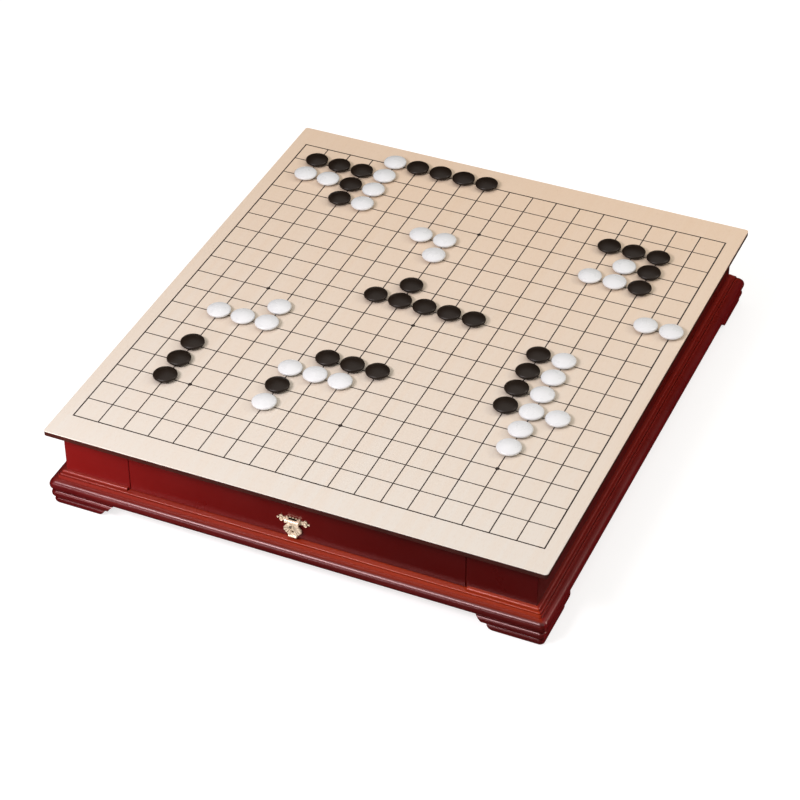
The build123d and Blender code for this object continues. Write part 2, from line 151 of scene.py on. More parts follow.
def red_toned_lacquer(name, along, deep, pale, left_lit_deep, left_lit_pale, thin, left_thin):
    made, tree, shader = new_material(name)
    place = add(tree, "ShaderNodeTexCoord").outputs["Object"]
    stretch = [1 / GRAIN_WIDTH] * 3
    stretch[along] = 1 / GRAIN_LENGTH
    along_grain = add(tree, "ShaderNodeMapping", {"Vector": place, "Scale": stretch})
    grain = add(tree, "ShaderNodeTexNoise", {
        "Vector": along_grain.outputs[0],
        "Scale": 1.0, "Detail": 4.0, "Roughness": 0.6, "Distortion": 0.2,
    }).outputs["Fac"]
    cloud = add(tree, "ShaderNodeTexNoise", {
        "Vector": place, "Scale": 1 / CLOUD, "Detail": 3.0, "Roughness": 0.5,
    }).outputs["Fac"]
    split = add(tree, "ShaderNodeSeparateXYZ", {0: place})
    up = add(tree, "ShaderNodeSeparateXYZ", {
        0: add(tree, "ShaderNodeNewGeometry").outputs["Normal"],
    }).outputs["Z"]
    clouded = add(tree, "ShaderNodeMapRange", {
        "Value": cloud, "From Min": 0.3, "From Max": 0.7,
    }).outputs[0]
    toner = add(tree, "ShaderNodeMix", {
        FACTOR: clouded, A: colour(deep), B: colour(pale),
    }, data_type="RGBA").outputs[MIXED]
    # The left end's deep and pale colours are lighter: painted light, standing in for the
    # lamp near the left corner.
    left_lit_toner = add(tree, "ShaderNodeMix", {
        FACTOR: clouded, A: colour(left_lit_deep), B: colour(left_lit_pale),
    }, data_type="RGBA").outputs[MIXED]
    away_from_left_light = add(tree, "ShaderNodeMapRange", {
        "Value": split.outputs["X"], "From Min": LIGHT_END, "From Max": DEEP_END,
    }).outputs[0]
    toner_with_painted_left_light = add(tree, "ShaderNodeMix", {
        FACTOR: away_from_left_light, A: left_lit_toner, B: toner,
    }, data_type="RGBA").outputs[MIXED]
    bare = add(tree, "ShaderNodeMix", {
        FACTOR: away_from_left_light, A: colour(left_thin), B: colour(thin),
    }, data_type="RGBA").outputs[MIXED]
    above = add(tree, "ShaderNodeMapRange", {
        "Value": split.outputs["Z"], "From Min": THIN_FROM, "From Max": THIN_TO,
    }).outputs[0]
    # Faces that look up get more of the orange: painted light from the lamp overhead.
    up_facing_painted_light = add(tree, "ShaderNodeMapRange", {
        "Value": up, "From Min": 0.0, "From Max": 0.9, "To Min": 0.85, "To Max": 1.0,
    }).outputs[0]
    thin_and_lit_mask = add(tree, "ShaderNodeMath", {0: above, 1: up_facing_painted_light}, operation="MULTIPLY")
    orange_thin_and_lit = add(tree, "ShaderNodeMix", {
        FACTOR: thin_and_lit_mask.outputs[0],
        A: toner_with_painted_left_light, B: bare,
    }, data_type="RGBA").outputs[MIXED]
    streaked = add(tree, "ShaderNodeMix", {
        FACTOR: add(tree, "ShaderNodeMapRange", {
            "Value": grain, "From Min": 0.45, "From Max": 0.75, "To Max": 0.12,
        }).outputs[0],
        A: orange_thin_and_lit, B: colour(thin),
    }, data_type="RGBA").outputs[MIXED]
    tree.links.new(streaked, shader.inputs["Base Color"])
    rough = add(tree, "ShaderNodeMapRange", {
        "Value": clouded, "To Min": 0.26, "To Max": 0.34,
    }).outputs[0]
    tree.links.new(rough, shader.inputs["Roughness"])
    peel = add(tree, "ShaderNodeTexNoise", {
        "Vector": place, "Scale": 1 / PEEL, "Detail": 2.0,
    }).outputs["Fac"]
    nibs = add(tree, "ShaderNodeMapRange", {
        "Value": add(tree, "ShaderNodeTexVoronoi", {
            "Vector": place, "Scale": 1 / NIB,
        }).outputs["Distance"],
        "From Min": 0.0, "From Max": 0.05, "To Min": 1.0, "To Max": 0.0,
    }).outputs[0]
    open_grain = add(tree, "ShaderNodeBump", {
        "Height": grain, "Strength": 1.0, "Distance": GRAIN_DEPTH,
    })
    sprayed = add(tree, "ShaderNodeBump", {
        "Height": peel, "Normal": open_grain.outputs[0],
        "Strength": 1.0, "Distance": PEEL_DEPTH,
    })
    dusty = add(tree, "ShaderNodeBump", {
        "Height": nibs, "Normal": sprayed.outputs[0],
        "Strength": 1.0, "Distance": NIB_HEIGHT,
    })
    tree.links.new(dusty.outputs[0], shader.inputs["Normal"])
    shader.inputs["Specular IOR Level"].default_value = 0.55
    shader.inputs["Specular Tint"].default_value = colour("#ffcfd0")
    shader.inputs["Coat Weight"].default_value = 0.15
    shader.inputs["Coat Roughness"].default_value = 0.12
    return made


# The deep and the pale toner, both again lighter for the left end as painted light, and the
# thin toner with its left end. Walls and drawer fronts have hardly any thin places. The side
# mouldings' deep and pale toner are lighter away from the left end: painted light for the
# light on the right side.
WALL_TONES = ("#3e0303", "#480404", "#540607", "#760b0a", "#460503", "#6c0b08")
MOULDING_TONES = ("#3e0606", "#480808", "#400608", "#500a0c", "#9c3419", "#782119")
SIDE_LIT_TONES = ("#5a0a0c", "#680d0f", "#400608", "#500a0c", "#7e1d15", "#6a1a15")
wall_across = red_toned_lacquer("red_toned_lacquer_wall_across", 0, *WALL_TONES)
wall_deep = red_toned_lacquer("red_toned_lacquer_wall_deep", 1, *WALL_TONES)
lacquer_across = red_toned_lacquer("red_toned_lacquer_across", 0, *MOULDING_TONES)
lacquer_deep = red_toned_lacquer("red_toned_lacquer_deep", 1, *SIDE_LIT_TONES)
for finish in (wall_across, wall_deep, lacquer_across, lacquer_deep):
    print("made", finish.name)

# %% [markdown]
# ## Dark edge paint
# The board's core is fibreboard. Its cut edge is painted dark brown, satin, with small
# chips where it has been knocked.

# %% Dark edge paint
PAINT_CLOUD = 14 * MM
CHIP = 6 * MM
PAINT_WAVE = 0.05 * MM


def dark_edge_paint():
    made, tree, shader = new_material("dark_edge_paint")
    place = add(tree, "ShaderNodeTexCoord").outputs["Object"]
    cloud = add(tree, "ShaderNodeTexNoise", {
        "Vector": place, "Scale": 1 / PAINT_CLOUD, "Detail": 4.0,
    }).outputs["Fac"]
    paint = add(tree, "ShaderNodeMix", {
        FACTOR: cloud, A: colour("#2a100b"), B: colour("#48190f"),
    }, data_type="RGBA").outputs[MIXED]
    chips = add(tree, "ShaderNodeMapRange", {
        "Value": add(tree, "ShaderNodeTexNoise", {
            "Vector": place, "Scale": 1 / CHIP, "Detail": 3.0,
        }).outputs["Fac"],
        "From Min": 0.74, "From Max": 0.76,
    }).outputs[0]
    tree.links.new(add(tree, "ShaderNodeMix", {
        FACTOR: chips, A: paint, B: colour("#9a7458"),
    }, data_type="RGBA").outputs[MIXED], shader.inputs["Base Color"])
    tree.links.new(add(tree, "ShaderNodeMapRange", {
        "Value": cloud, "To Min": 0.35, "To Max": 0.5,
    }).outputs[0], shader.inputs["Roughness"])
    tree.links.new(add(tree, "ShaderNodeBump", {
        "Height": cloud, "Strength": 1.0, "Distance": PAINT_WAVE,
    }).outputs[0], shader.inputs["Normal"])
    return made


edge_paint = dark_edge_paint()
print("made", edge_paint.name)

# %% [markdown]
# ## Pale veneer
# The playing face is a thin sheet of pale, close-grained veneer under a matt sealer. The
# eye sees an even cream with very faint flecks and bands. Real bands are a few
# millimetres wide and run along the sheet. The colour is palest at the front edge and
# warmer towards the rear: painted light, standing in for the front lamp's light falling off.

# %% Pale veneer
BAND_LENGTH = 240 * MM
BAND_WIDTH = 7 * MM
FLECK_LENGTH = 5 * MM
FLECK_WIDTH = 0.5 * MM
FLECK_DEPTH = 0.012 * MM
PALE_END = -240 * MM
WARM_END = 240 * MM


def pale_veneer():
    made, tree, shader = new_material("pale_veneer")
    place = add(tree, "ShaderNodeTexCoord").outputs["Object"]
    bands = add(tree, "ShaderNodeTexNoise", {
        "Vector": add(tree, "ShaderNodeMapping", {
            "Vector": place, "Scale": (1 / BAND_WIDTH, 1 / BAND_LENGTH, 1 / BAND_WIDTH),
        }).outputs[0],
        "Scale": 1.0, "Detail": 4.0, "Distortion": 0.3,
    }).outputs["Fac"]
    flecks = add(tree, "ShaderNodeTexNoise", {
        "Vector": add(tree, "ShaderNodeMapping", {
            "Vector": place, "Scale": (1 / FLECK_WIDTH, 1 / FLECK_LENGTH, 1 / FLECK_WIDTH),
        }).outputs[0],
        "Scale": 1.0, "Detail": 1.0,
    }).outputs["Fac"]
    # Paler at the front and warmer towards the rear: painted light, the front lamp's light
    # falling off towards the rear.
    back = add(tree, "ShaderNodeSeparateXYZ", {0: place}).outputs["Y"]
    rear_warm_front_lit = add(tree, "ShaderNodeMix", {
        FACTOR: add(tree, "ShaderNodeMapRange", {
            "Value": back, "From Min": PALE_END, "From Max": WARM_END,
        }).outputs[0],
        A: colour("#cdc9c0"), B: colour("#d7c2ab"),
    }, data_type="RGBA").outputs[MIXED]
    banded = add(tree, "ShaderNodeMix", {
        FACTOR: add(tree, "ShaderNodeMapRange", {
            "Value": bands, "From Min": 0.3, "From Max": 0.7, "To Max": 0.16,
        }).outputs[0],
        A: rear_warm_front_lit, B: colour("#cfae8a"),
    }, data_type="RGBA").outputs[MIXED]
    flecked = add(tree, "ShaderNodeMix", {
        FACTOR: add(tree, "ShaderNodeMapRange", {
            "Value": flecks, "From Min": 0.58, "From Max": 0.72, "To Max": 0.16,
        }).outputs[0],
        A: banded, B: colour("#b99a78"),
    }, data_type="RGBA").outputs[MIXED]
    tree.links.new(flecked, shader.inputs["Base Color"])
    tree.links.new(add(tree, "ShaderNodeMapRange", {
        "Value": bands, "To Min": 0.5, "To Max": 0.62,
    }).outputs[0], shader.inputs["Roughness"])
    tree.links.new(add(tree, "ShaderNodeBump", {
        "Height": flecks, "Strength": 1.0, "Distance": FLECK_DEPTH,
    }).outputs[0], shader.inputs["Normal"])
    shader.inputs["Specular IOR Level"].default_value = 0.3
    return made


veneer = pale_veneer()
print("made", veneer.name)

# %% [markdown]
# ## Printed line ink
# The grid is screen-printed in a dark brown ink. The ink lies on the sealer as a matt
# film, a little uneven in strength.

# %% Printed line ink
INK_PATCH = 4 * MM
INK_WAVE = 0.005 * MM


def printed_line_ink():
    made, tree, shader = new_material("printed_line_ink")
    place = add(tree, "ShaderNodeTexCoord").outputs["Object"]
    patches = add(tree, "ShaderNodeTexNoise", {
        "Vector": place, "Scale": 1 / INK_PATCH, "Detail": 3.0,
    }).outputs["Fac"]
    tree.links.new(add(tree, "ShaderNodeMix", {
        FACTOR: patches, A: colour("#1a120e"), B: colour("#2a1d15"),
    }, data_type="RGBA").outputs[MIXED], shader.inputs["Base Color"])
    tree.links.new(add(tree, "ShaderNodeMapRange", {
        "Value": patches, "To Min": 0.55, "To Max": 0.75,
    }).outputs[0], shader.inputs["Roughness"])
    tree.links.new(add(tree, "ShaderNodeBump", {
        "Height": patches, "Strength": 1.0, "Distance": INK_WAVE,
    }).outputs[0], shader.inputs["Normal"])
    return made


line_ink = printed_line_ink()
print("made", line_ink.name)

# %% [markdown]
# ## Planed softwood
# Inside, the case and the drawer boxes are bare, planed softwood: a warm cream with
# broad growth bands along each board, finely ribbed by the planer. The bands are noise
# stretched along the board, as for the lacquer.

# %% Planed softwood
RING_LENGTH = 160 * MM
RING_WIDTH = 3.5 * MM
FIBRE_LENGTH = 9 * MM
FIBRE_WIDTH = 0.6 * MM
FIBRE_DEPTH = 0.04 * MM


def planed_softwood(name, along):
    made, tree, shader = new_material(name)
    place = add(tree, "ShaderNodeTexCoord").outputs["Object"]

    def stretched(width, length, detail):
        scale = [1 / width] * 3
        scale[along] = 1 / length
        mapped = add(tree, "ShaderNodeMapping", {"Vector": place, "Scale": scale}).outputs[0]
        return add(tree, "ShaderNodeTexNoise", {
            "Vector": mapped, "Scale": 1.0, "Detail": detail, "Distortion": 0.4,
        }).outputs["Fac"]

    rings = stretched(RING_WIDTH, RING_LENGTH, 3.0)
    fibres = stretched(FIBRE_WIDTH, FIBRE_LENGTH, 2.0)
    banded = add(tree, "ShaderNodeMix", {
        FACTOR: add(tree, "ShaderNodeMapRange", {
            "Value": rings, "From Min": 0.42, "From Max": 0.62,
        }).outputs[0],
        A: colour("#dcc096"), B: colour("#c39a66"),
    }, data_type="RGBA").outputs[MIXED]
    tree.links.new(add(tree, "ShaderNodeMix", {
        FACTOR: add(tree, "ShaderNodeMapRange", {
            "Value": fibres, "From Min": 0.5, "From Max": 0.75, "To Max": 0.4,
        }).outputs[0],
        A: banded, B: colour("#a87d4e"),
    }, data_type="RGBA").outputs[MIXED], shader.inputs["Base Color"])
    tree.links.new(add(tree, "ShaderNodeMapRange", {
        "Value": rings, "To Min": 0.55, "To Max": 0.75,
    }).outputs[0], shader.inputs["Roughness"])
    tree.links.new(add(tree, "ShaderNodeBump", {
        "Height": fibres, "Strength": 1.0, "Distance": FIBRE_DEPTH,
    }).outputs[0], shader.inputs["Normal"])
    return made


softwood_across = planed_softwood("planed_softwood_across", 0)
softwood_deep = planed_softwood("planed_softwood_deep", 1)
softwood_upright = planed_softwood("planed_softwood_upright", 2)
print("made", softwood_across.name, softwood_deep.name, softwood_upright.name)

# %% [markdown]
# ## Aged cast brass
# The pulls are small brass castings, tumbled bright and then slightly tarnished. High
# places shine pale gold and the hollows keep a dark brown film. Ambient occlusion finds
# the hollows, because it measures how much of the sky a point can see. A thin dull oxide
# lies over the whole casting, so it scatters some light as well as mirroring it.

# %% Aged cast brass
HOLLOW = 1.2 * MM
TARNISH = 2.5 * MM
CAST_GRIT = 0.35 * MM
GRIT_DEPTH = 0.02 * MM


def aged_cast_brass():
    made, tree, shader = new_material("aged_cast_brass")
    place = add(tree, "ShaderNodeTexCoord").outputs["Object"]
    open_sky = add(
        tree, "ShaderNodeAmbientOcclusion", {"Distance": HOLLOW}, samples=8).outputs["AO"]
    patches = add(tree, "ShaderNodeTexNoise", {
        "Vector": place, "Scale": 1 / TARNISH, "Detail": 4.0, "Roughness": 0.6,
    }).outputs["Fac"]
    film = add(tree, "ShaderNodeMath", {
        0: add(tree, "ShaderNodeMapRange", {
            "Value": open_sky, "From Min": 0.55, "From Max": 0.92,
            "To Min": 0.85, "To Max": 0.0,
        }).outputs[0],
        1: add(tree, "ShaderNodeMapRange", {
            "Value": patches, "From Min": 0.5, "From Max": 0.8, "To Max": 0.3,
        }).outputs[0],
    }, operation="MAXIMUM").outputs[0]
    tree.links.new(add(tree, "ShaderNodeMix", {
        FACTOR: film, A: colour("#f8e4c6"), B: colour("#4a3a20"),
    }, data_type="RGBA").outputs[MIXED], shader.inputs["Base Color"])
    tree.links.new(add(tree, "ShaderNodeMapRange", {
        "Value": film, "To Min": 0.3, "To Max": 0.55,
    }).outputs[0], shader.inputs["Roughness"])
    grit = add(tree, "ShaderNodeTexNoise", {
        "Vector": place, "Scale": 1 / CAST_GRIT, "Detail": 2.0,
    }).outputs["Fac"]
    tree.links.new(add(tree, "ShaderNodeBump", {
        "Height": grit, "Strength": 1.0, "Distance": GRIT_DEPTH,
    }).outputs[0], shader.inputs["Normal"])
    shader.inputs["Metallic"].default_value = 0.35
    return made


brass = aged_cast_brass()
print("made", brass.name)

# %% [markdown]
# ## Playing stones
# Both kinds are pressed and tumbled, not cut. Black ones are satin, so the lamp shows in
# them only as a soft grey bloom. White ones are a dense white with a soft gloss.

# %% Black and white stone
STONE_CLOUD = 9 * MM
STONE_PIT = 0.8 * MM
PIT_DEPTH = 0.012 * MM


def tumbled_stone(name, dark, light, rough_low, rough_high, shine):
    made, tree, shader = new_material(name)
    place = add(tree, "ShaderNodeTexCoord").outputs["Object"]
    cloud = add(tree, "ShaderNodeTexNoise", {
        "Vector": place, "Scale": 1 / STONE_CLOUD, "Detail": 4.0,
    }).outputs["Fac"]
    pits = add(tree, "ShaderNodeTexNoise", {
        "Vector": place, "Scale": 1 / STONE_PIT, "Detail": 2.0,
    }).outputs["Fac"]
    tree.links.new(add(tree, "ShaderNodeMix", {
        FACTOR: cloud, A: colour(dark), B: colour(light),
    }, data_type="RGBA").outputs[MIXED], shader.inputs["Base Color"])
    tree.links.new(add(tree, "ShaderNodeMapRange", {
        "Value": cloud, "From Min": 0.3, "From Max": 0.7,
        "To Min": rough_low, "To Max": rough_high,
    }).outputs[0], shader.inputs["Roughness"])
    tree.links.new(add(tree, "ShaderNodeBump", {
        "Height": pits, "Strength": 1.0, "Distance": PIT_DEPTH,
    }).outputs[0], shader.inputs["Normal"])
    shader.inputs["Specular IOR Level"].default_value = shine
    return made


black_stone = tumbled_stone("satin_black_stone", "#170f09", "#21170f", 0.36, 0.46, 0.3)
white_stone = tumbled_stone("dense_white_stone", "#d0d3d4", "#d7dadb", 0.24, 0.34, 0.5)
print("made", black_stone.name, "and", white_stone.name)

# %% [markdown]
# ## From mesh to piece
# Every new piece goes through the same last step: normals are turned outwards, curved
# parts are shaded smooth and hard arrises kept, and the piece is tied to its CAD body,
# its nodes and its finish. Broad level faces are shaded flat, because a smooth one would
# borrow a tilt from the rounded arrises round it and show false shadows.

# %% Finish a piece
ARRIS = radians(32)
BROAD = 4 * MM ** 2
LEVEL = 0.99999


def piece(bm, name, body, material, nodes=()):
    bmesh.ops.recalc_face_normals(bm, faces=bm.faces[:])
    mesh = bpy.data.meshes.new(name)
    bm.to_mesh(mesh)
    bm.free()
    mesh.set_sharp_from_angle(angle=ARRIS)
    for face in mesh.polygons:
        level = max(abs(part) for part in face.normal) > LEVEL
        face.use_smooth = not (level and face.area > BROAD)
    mesh.materials.append(material)
    made = bpy.data.objects.new(name, mesh)
    bpy.context.scene.collection.objects.link(made)
    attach(made, body)
    if nodes:
        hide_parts(*nodes)
    triangles = sum(len(p.vertices) - 2 for p in mesh.polygons)
    print(f"{name}: {triangles} triangles")
    return made


# %% [markdown]
# ## Four walls from one
# Mouldings, beads and feet are the same on every side. Each is modelled on the front
# wall, where x runs along the wall and -y is outward, and then turned about the middle of
# the case by quarter turns. The left and right walls are longer, so the wall's distance
# from the middle and its half length come with the side.

# %% Walls
side_low, side_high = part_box("case_side_right")
HALF_W = side_high.x
HALF_D = side_high.y
LEDGE_Z = side_low.z
BOARD_Z = side_high.z
SIDES = {
    "front": (0, HALF_D, HALF_W, lacquer_across),
    "right": (1, HALF_W, HALF_D, lacquer_deep),
    "rear": (2, HALF_D, HALF_W, lacquer_across),
    "left": (3, HALF_W, HALF_D, lacquer_deep),
}
print("case half width and depth", HALF_W, HALF_D, "ledge", LEDGE_Z, "board", BOARD_Z)


def turn_to(bm, side):
    turn = Matrix.Rotation(SIDES[side][0] * pi / 2, 3, "Z")
    bmesh.ops.rotate(bm, verts=bm.verts[:], cent=(0, 0, 0), matrix=turn)


def end_name(side, end):
    """Corner that the left (-1) or right (1) end of a wall meets, seen from outside."""
    order = ["front", "right", "rear", "left"]
    return order[(order.index(side) + end) % 4]


# %% [markdown]
# ## A drawn section
# A moulding is its section pushed along a line, as from a spindle moulder. The section is
# drawn with a pen: a straight move adds an edge, and a turn spins the pen round a centre,
# which leaves an arc. The closed outline becomes a face, and pushing the face along makes
# the solid.
#
# At the corners of the case two lengths meet in a mitre, and the outer corner is sanded
# round. So the end isn't cut off on the diagonal. It is pushed on in short steps that turn
# through the first 45 degrees of a small arc and end on the mitre. The arc is wider for
# parts of the section that stand further out.

# %% Section, push and corner
# How near two points have to be to be welded, to be the same, and to lie on one plane.
WELD = 1e-7
SAME = 1e-6
ON_PLANE = 1e-5
ARC_STEPS = 16
CORNER_STEPS = 6
CORNER_SHARE = 0.41
STRAIGHT_END = 24 * MM


def draw_section(bm, x, start, moves):
    """Face in the plane at x. Points are (outward, up); a move is a point or an arc."""
    pen = first = bm.verts.new((x, -start[0], start[1]))
    for move in moves:
        if len(move) == 3:
            turned = bmesh.ops.spin(
                bm, geom=[pen], cent=(x, -move[0], move[1]), axis=(1, 0, 0),
                angle=radians(move[2]), steps=ARC_STEPS, use_duplicate=False)
            pen = [g for g in turned["geom_last"] if isinstance(g, bmesh.types.BMVert)][0]
        else:
            corner = bm.verts.new((x, -move[0], move[1]))
            bm.edges.new((pen, corner))
            pen = corner
    bm.edges.new((pen, first))
    bmesh.ops.contextual_create(bm, geom=bm.edges[:])
    return bm.faces[:]


def push(bm, faces, distance):
    """Push faces along and return the faces at the new end."""
    grown = bmesh.ops.extrude_face_region(bm, geom=faces)["geom"]
    moved = [g for g in grown if isinstance(g, bmesh.types.BMVert)]
    bmesh.ops.translate(bm, verts=moved, vec=distance)
    return [g for g in grown if isinstance(g, bmesh.types.BMFace)]


def round_corner(bm, faces, wall, half, end):
    """Push the end faces round the corner of the case as far as the mitre."""
    bend = 0.0
    for step in range(CORNER_STEPS + 1):
        drawn_in = 1 - CORNER_SHARE * (1 - cos(bend))
        bend = pi / 4 * step / CORNER_STEPS
        faces = push(bm, faces, (0, 0, 0))
        for vert in {v for f in faces for v in f.verts}:
            out = -vert.co.y - wall
            if out > 0:
                out /= drawn_in
            radius = CORNER_SHARE * max(out, 0.0)
            vert.co.x = end * (half + out - radius * (1 - sin(bend)))
            vert.co.y = -(wall + out - radius * (1 - cos(bend)))
    bmesh.ops.remove_doubles(bm, verts=bm.verts[:], dist=WELD)


# %% [markdown]
# ## Base moulding
# Four mitred lengths carry the case. From the top: a flat ledge with a small rounded
# shoulder, a fine groove, a narrow upright fascia, a small step, and a bold half-round that
# catches the lamp. Inside is the rebate for the bottom panel.

# %% Base moulding
FOOT_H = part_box("base_moulding_front")[0].z
LEDGE_OUT = 6 * MM
SHOULDER_R = 0.6 * MM
FILLET_W = 0.45 * MM
FILLET_DROP = 0.8 * MM
GROOVE_W = 0.75 * MM
GROOVE_DEPTH = 1.7 * MM
TORUS_OUT = 7 * MM
TORUS_R = 5.2 * MM
BASE_IN = 22 * MM
PANEL_IN = 4 * MM
PANEL_T = 4 * MM


def base_moulding(side):
    _, wall, half, material = SIDES[side]
    bm = bmesh.new()
    run = half - STRAIGHT_END
    torus_z = FOOT_H + TORUS_R
    groove = wall + LEDGE_OUT - FILLET_W - GROOVE_W
    first_end = draw_section(bm, -run, (wall + TORUS_OUT, FOOT_H), [
        (wall + TORUS_OUT, torus_z, -180),
        (wall + LEDGE_OUT, torus_z + TORUS_R),
        (wall + LEDGE_OUT, LEDGE_Z - FILLET_DROP),
        (groove + GROOVE_W, LEDGE_Z - FILLET_DROP),
        (groove + GROOVE_W, LEDGE_Z - GROOVE_DEPTH),
        (groove, LEDGE_Z - GROOVE_DEPTH),
        (groove, LEDGE_Z - SHOULDER_R),
        (groove - SHOULDER_R, LEDGE_Z - SHOULDER_R, -90),
        (wall - PANEL_IN, LEDGE_Z),
        (wall - PANEL_IN, LEDGE_Z - PANEL_T),
        (wall - BASE_IN, LEDGE_Z - PANEL_T),
        (wall - BASE_IN, FOOT_H),
    ])
    last_end = push(bm, first_end, (2 * run, 0, 0))
    round_corner(bm, last_end, wall, half, 1)
    first_end = [f for f in bm.faces if all(abs(v.co.x + run) < WELD for v in f.verts)]
    round_corner(bm, first_end, wall, half, -1)
    turn_to(bm, side)
    name = f"base_moulding_{side}"
    return piece(bm, f"lacquered_{name}", "case", material, [name])


for side in SIDES:
    made = base_moulding(side)
    print(side, [round(v * 1000, 2) for v in made.dimensions])

# %% [markdown]
# ## Beads
# A small half-round strip hides the joint between wall and ledge. It runs the whole
# length of the side walls, but stops short of the drawer opening at the front and rear,
# where the drawer has to slide over the ledge. The stopped end is rounded off.

# %% Beads
BEAD_FLAT = 1.8 * MM
BEAD_R = 1.2 * MM
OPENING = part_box("stile_front_right")[0].x
BEAD_GAP = 1.5 * MM
BEAD_END_R = 0.5 * MM


def bead(side, end=0):
    _, wall, half, material = SIDES[side]
    bm = bmesh.new()
    run = half - STRAIGHT_END
    start = end * (OPENING + BEAD_GAP) if end else -run
    reach = end * run if end else run
    first_end = draw_section(bm, start, (wall, LEDGE_Z), [
        (wall + BEAD_FLAT, LEDGE_Z),
        (wall + BEAD_FLAT, LEDGE_Z + BEAD_R, -180),
        (wall, LEDGE_Z + 2 * BEAD_R),
    ])
    last_end = push(bm, first_end, (reach - start, 0, 0))
    round_corner(bm, last_end, wall, half, end or 1)
    first_end = [f for f in bm.faces if all(abs(v.co.x - start) < WELD for v in f.verts)]
    if end:
        bmesh.ops.bevel(
            bm, geom=[e for f in first_end for e in f.edges
                      if all(v.co.z > LEDGE_Z + SAME for v in e.verts)],
            offset=BEAD_END_R, offset_type="OFFSET", segments=3, profile=0.5,
            affect="EDGES", material=-1)
    else:
        round_corner(bm, first_end, wall, half, -1)
    turn_to(bm, side)
    name = f"bead_{side}" + (f"_{end_name(side, end)}" if end else "")
    return piece(bm, f"lacquered_{name}", "case", material, [name])


for side in ("left", "right"):
    bead(side)
for side in ("front", "rear"):
    for end in (-1, 1):
        bead(side, end)

# %% [markdown]
# ## Bracket feet
# Each foot is two halves that meet at the corner of the case. A half is two half-round
# reeds, one over the other, with the lower one set back and shorter. The inner ends are
# sawn to a curve: the upper reed ends in a hollow, the lower one in a round. The end face
# is cut into level bands first, and each band is then slid along to where the curve is at
# its height.

# %% Bracket feet
REED_R = FOOT_H / 4
FOOT_IN = 8 * MM
LOWER_OUT = 6 * MM
UPPER_OUT = 7.7 * MM
# Distance of an end from the corner, at the bottom and top of the reed, and its bow.
UPPER_END = (39.8 * MM, 45.6 * MM, -1.04 * MM)
LOWER_END = (30.0 * MM, 37.2 * MM, 1.15 * MM)


def reed(side, end, low, out, curve):
    _, wall, half, _ = SIDES[side]
    bm = bmesh.new()
    start = end * (half - curve[1])
    draw_section(bm, start, (wall + out, low), [
        (wall + out, low + REED_R, -180),
        (wall - FOOT_IN, low + 2 * REED_R),
        (wall - FOOT_IN, low),
    ])
    for height in sorted({round(v.co.z, 6) for v in bm.verts})[1:-1]:
        bmesh.ops.bisect_plane(
            bm, geom=bm.verts[:] + bm.edges[:] + bm.faces[:], dist=SAME,
            plane_co=(0, 0, height), plane_no=(0, 0, 1))
    last_end = push(bm, bm.faces[:], (end * (half - STRAIGHT_END) - start, 0, 0))
    for vert in bm.verts:
        if abs(vert.co.x - start) < WELD:
            up = (vert.co.z - low) / (2 * REED_R)
            from_corner = curve[0] + (curve[1] - curve[0]) * up + curve[2] * 4 * up * (1 - up)
            vert.co.x = end * (half - from_corner)
    round_corner(bm, last_end, wall, half, end)
    turn_to(bm, side)
    return bm


def foot(side, end):
    bm = reed(side, end, 2 * REED_R, UPPER_OUT, UPPER_END)
    lower = reed(side, end, 0.0, LOWER_OUT, LOWER_END)
    spare = bpy.data.meshes.new("lower_reed")
    lower.to_mesh(spare)
    lower.free()
    bm.from_mesh(spare)
    bpy.data.meshes.remove(spare)
    name = f"foot_{side}_{end_name(side, end)}"
    return piece(
        bm, f"lacquered_{name}", "case", SIDES[side][3], [name])


for side in SIDES:
    for end in (-1, 1):
        foot(side, end)

# %% [markdown]
# ## Eased panels
# Walls, drawer parts and blocks are plain planed boards whose arrises were eased with
# sandpaper. The CAD shape is right, but a knife-sharp edge never catches the light. So a
# copy of the node is made whole again, its flat faces are joined, and each long edge is
# rounded a little.

# %% Eased panels
EASED = 0.45 * MM
THIN_EASED = 0.2 * MM
SHORT_EDGE = 2.5 * MM


def whole_copy(node):
    """Copy of a CAD node's mesh with its loose triangles joined into whole faces."""
    bm = bmesh.new()
    bm.from_mesh(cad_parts[node].data)
    bmesh.ops.remove_doubles(bm, verts=bm.verts[:], dist=SAME)
    bmesh.ops.dissolve_limit(
        bm, angle_limit=radians(1), verts=bm.verts[:], edges=bm.edges[:])
    return bm


def eased_panel(node, name, body, material, amount=EASED):
    bm = whole_copy(node)
    edges = [
        e for e in bm.edges
        if e.calc_length() > SHORT_EDGE and e.calc_face_angle(0.0) > ARRIS]
    bmesh.ops.bevel(
        bm, geom=edges, offset=amount, offset_type="OFFSET", segments=3, profile=0.5,
        affect="EDGES", material=-1)
    return piece(bm, name, body, material, [node])


for side in ("left", "right"):
    eased_panel(f"case_side_{side}", f"lacquered_case_side_{side}", "case",
                wall_deep)
for side in ("front", "rear"):
    drawer = f"{side}_drawer"
    for end in (-1, 1):
        corner = f"{side}_{end_name(side, end)}"
        eased_panel(f"stile_{corner}", f"lacquered_stile_{corner}", "case",
                    wall_across)
        eased_panel(f"corner_block_{corner}", f"planed_corner_block_{corner}", "case",
                    softwood_upright)
        eased_panel(f"foot_block_{corner}", f"planed_foot_block_{corner}", "case",
                    softwood_upright)
        eased_panel(f"drawer_guide_{corner}", f"planed_drawer_guide_{corner}", "case",
                    softwood_deep)
        box_side = f"{drawer}_side_{end_name(side, end)}"
        eased_panel(box_side, f"planed_{box_side}", drawer, softwood_deep)
    eased_panel(f"{drawer}_front", f"lacquered_{drawer}_front", drawer,
                wall_across)
    eased_panel(f"{drawer}_back", f"planed_{drawer}_back", drawer,
                softwood_across)
    eased_panel(f"{drawer}_bottom", f"planed_{drawer}_bottom", drawer,
                softwood_across, THIN_EASED)
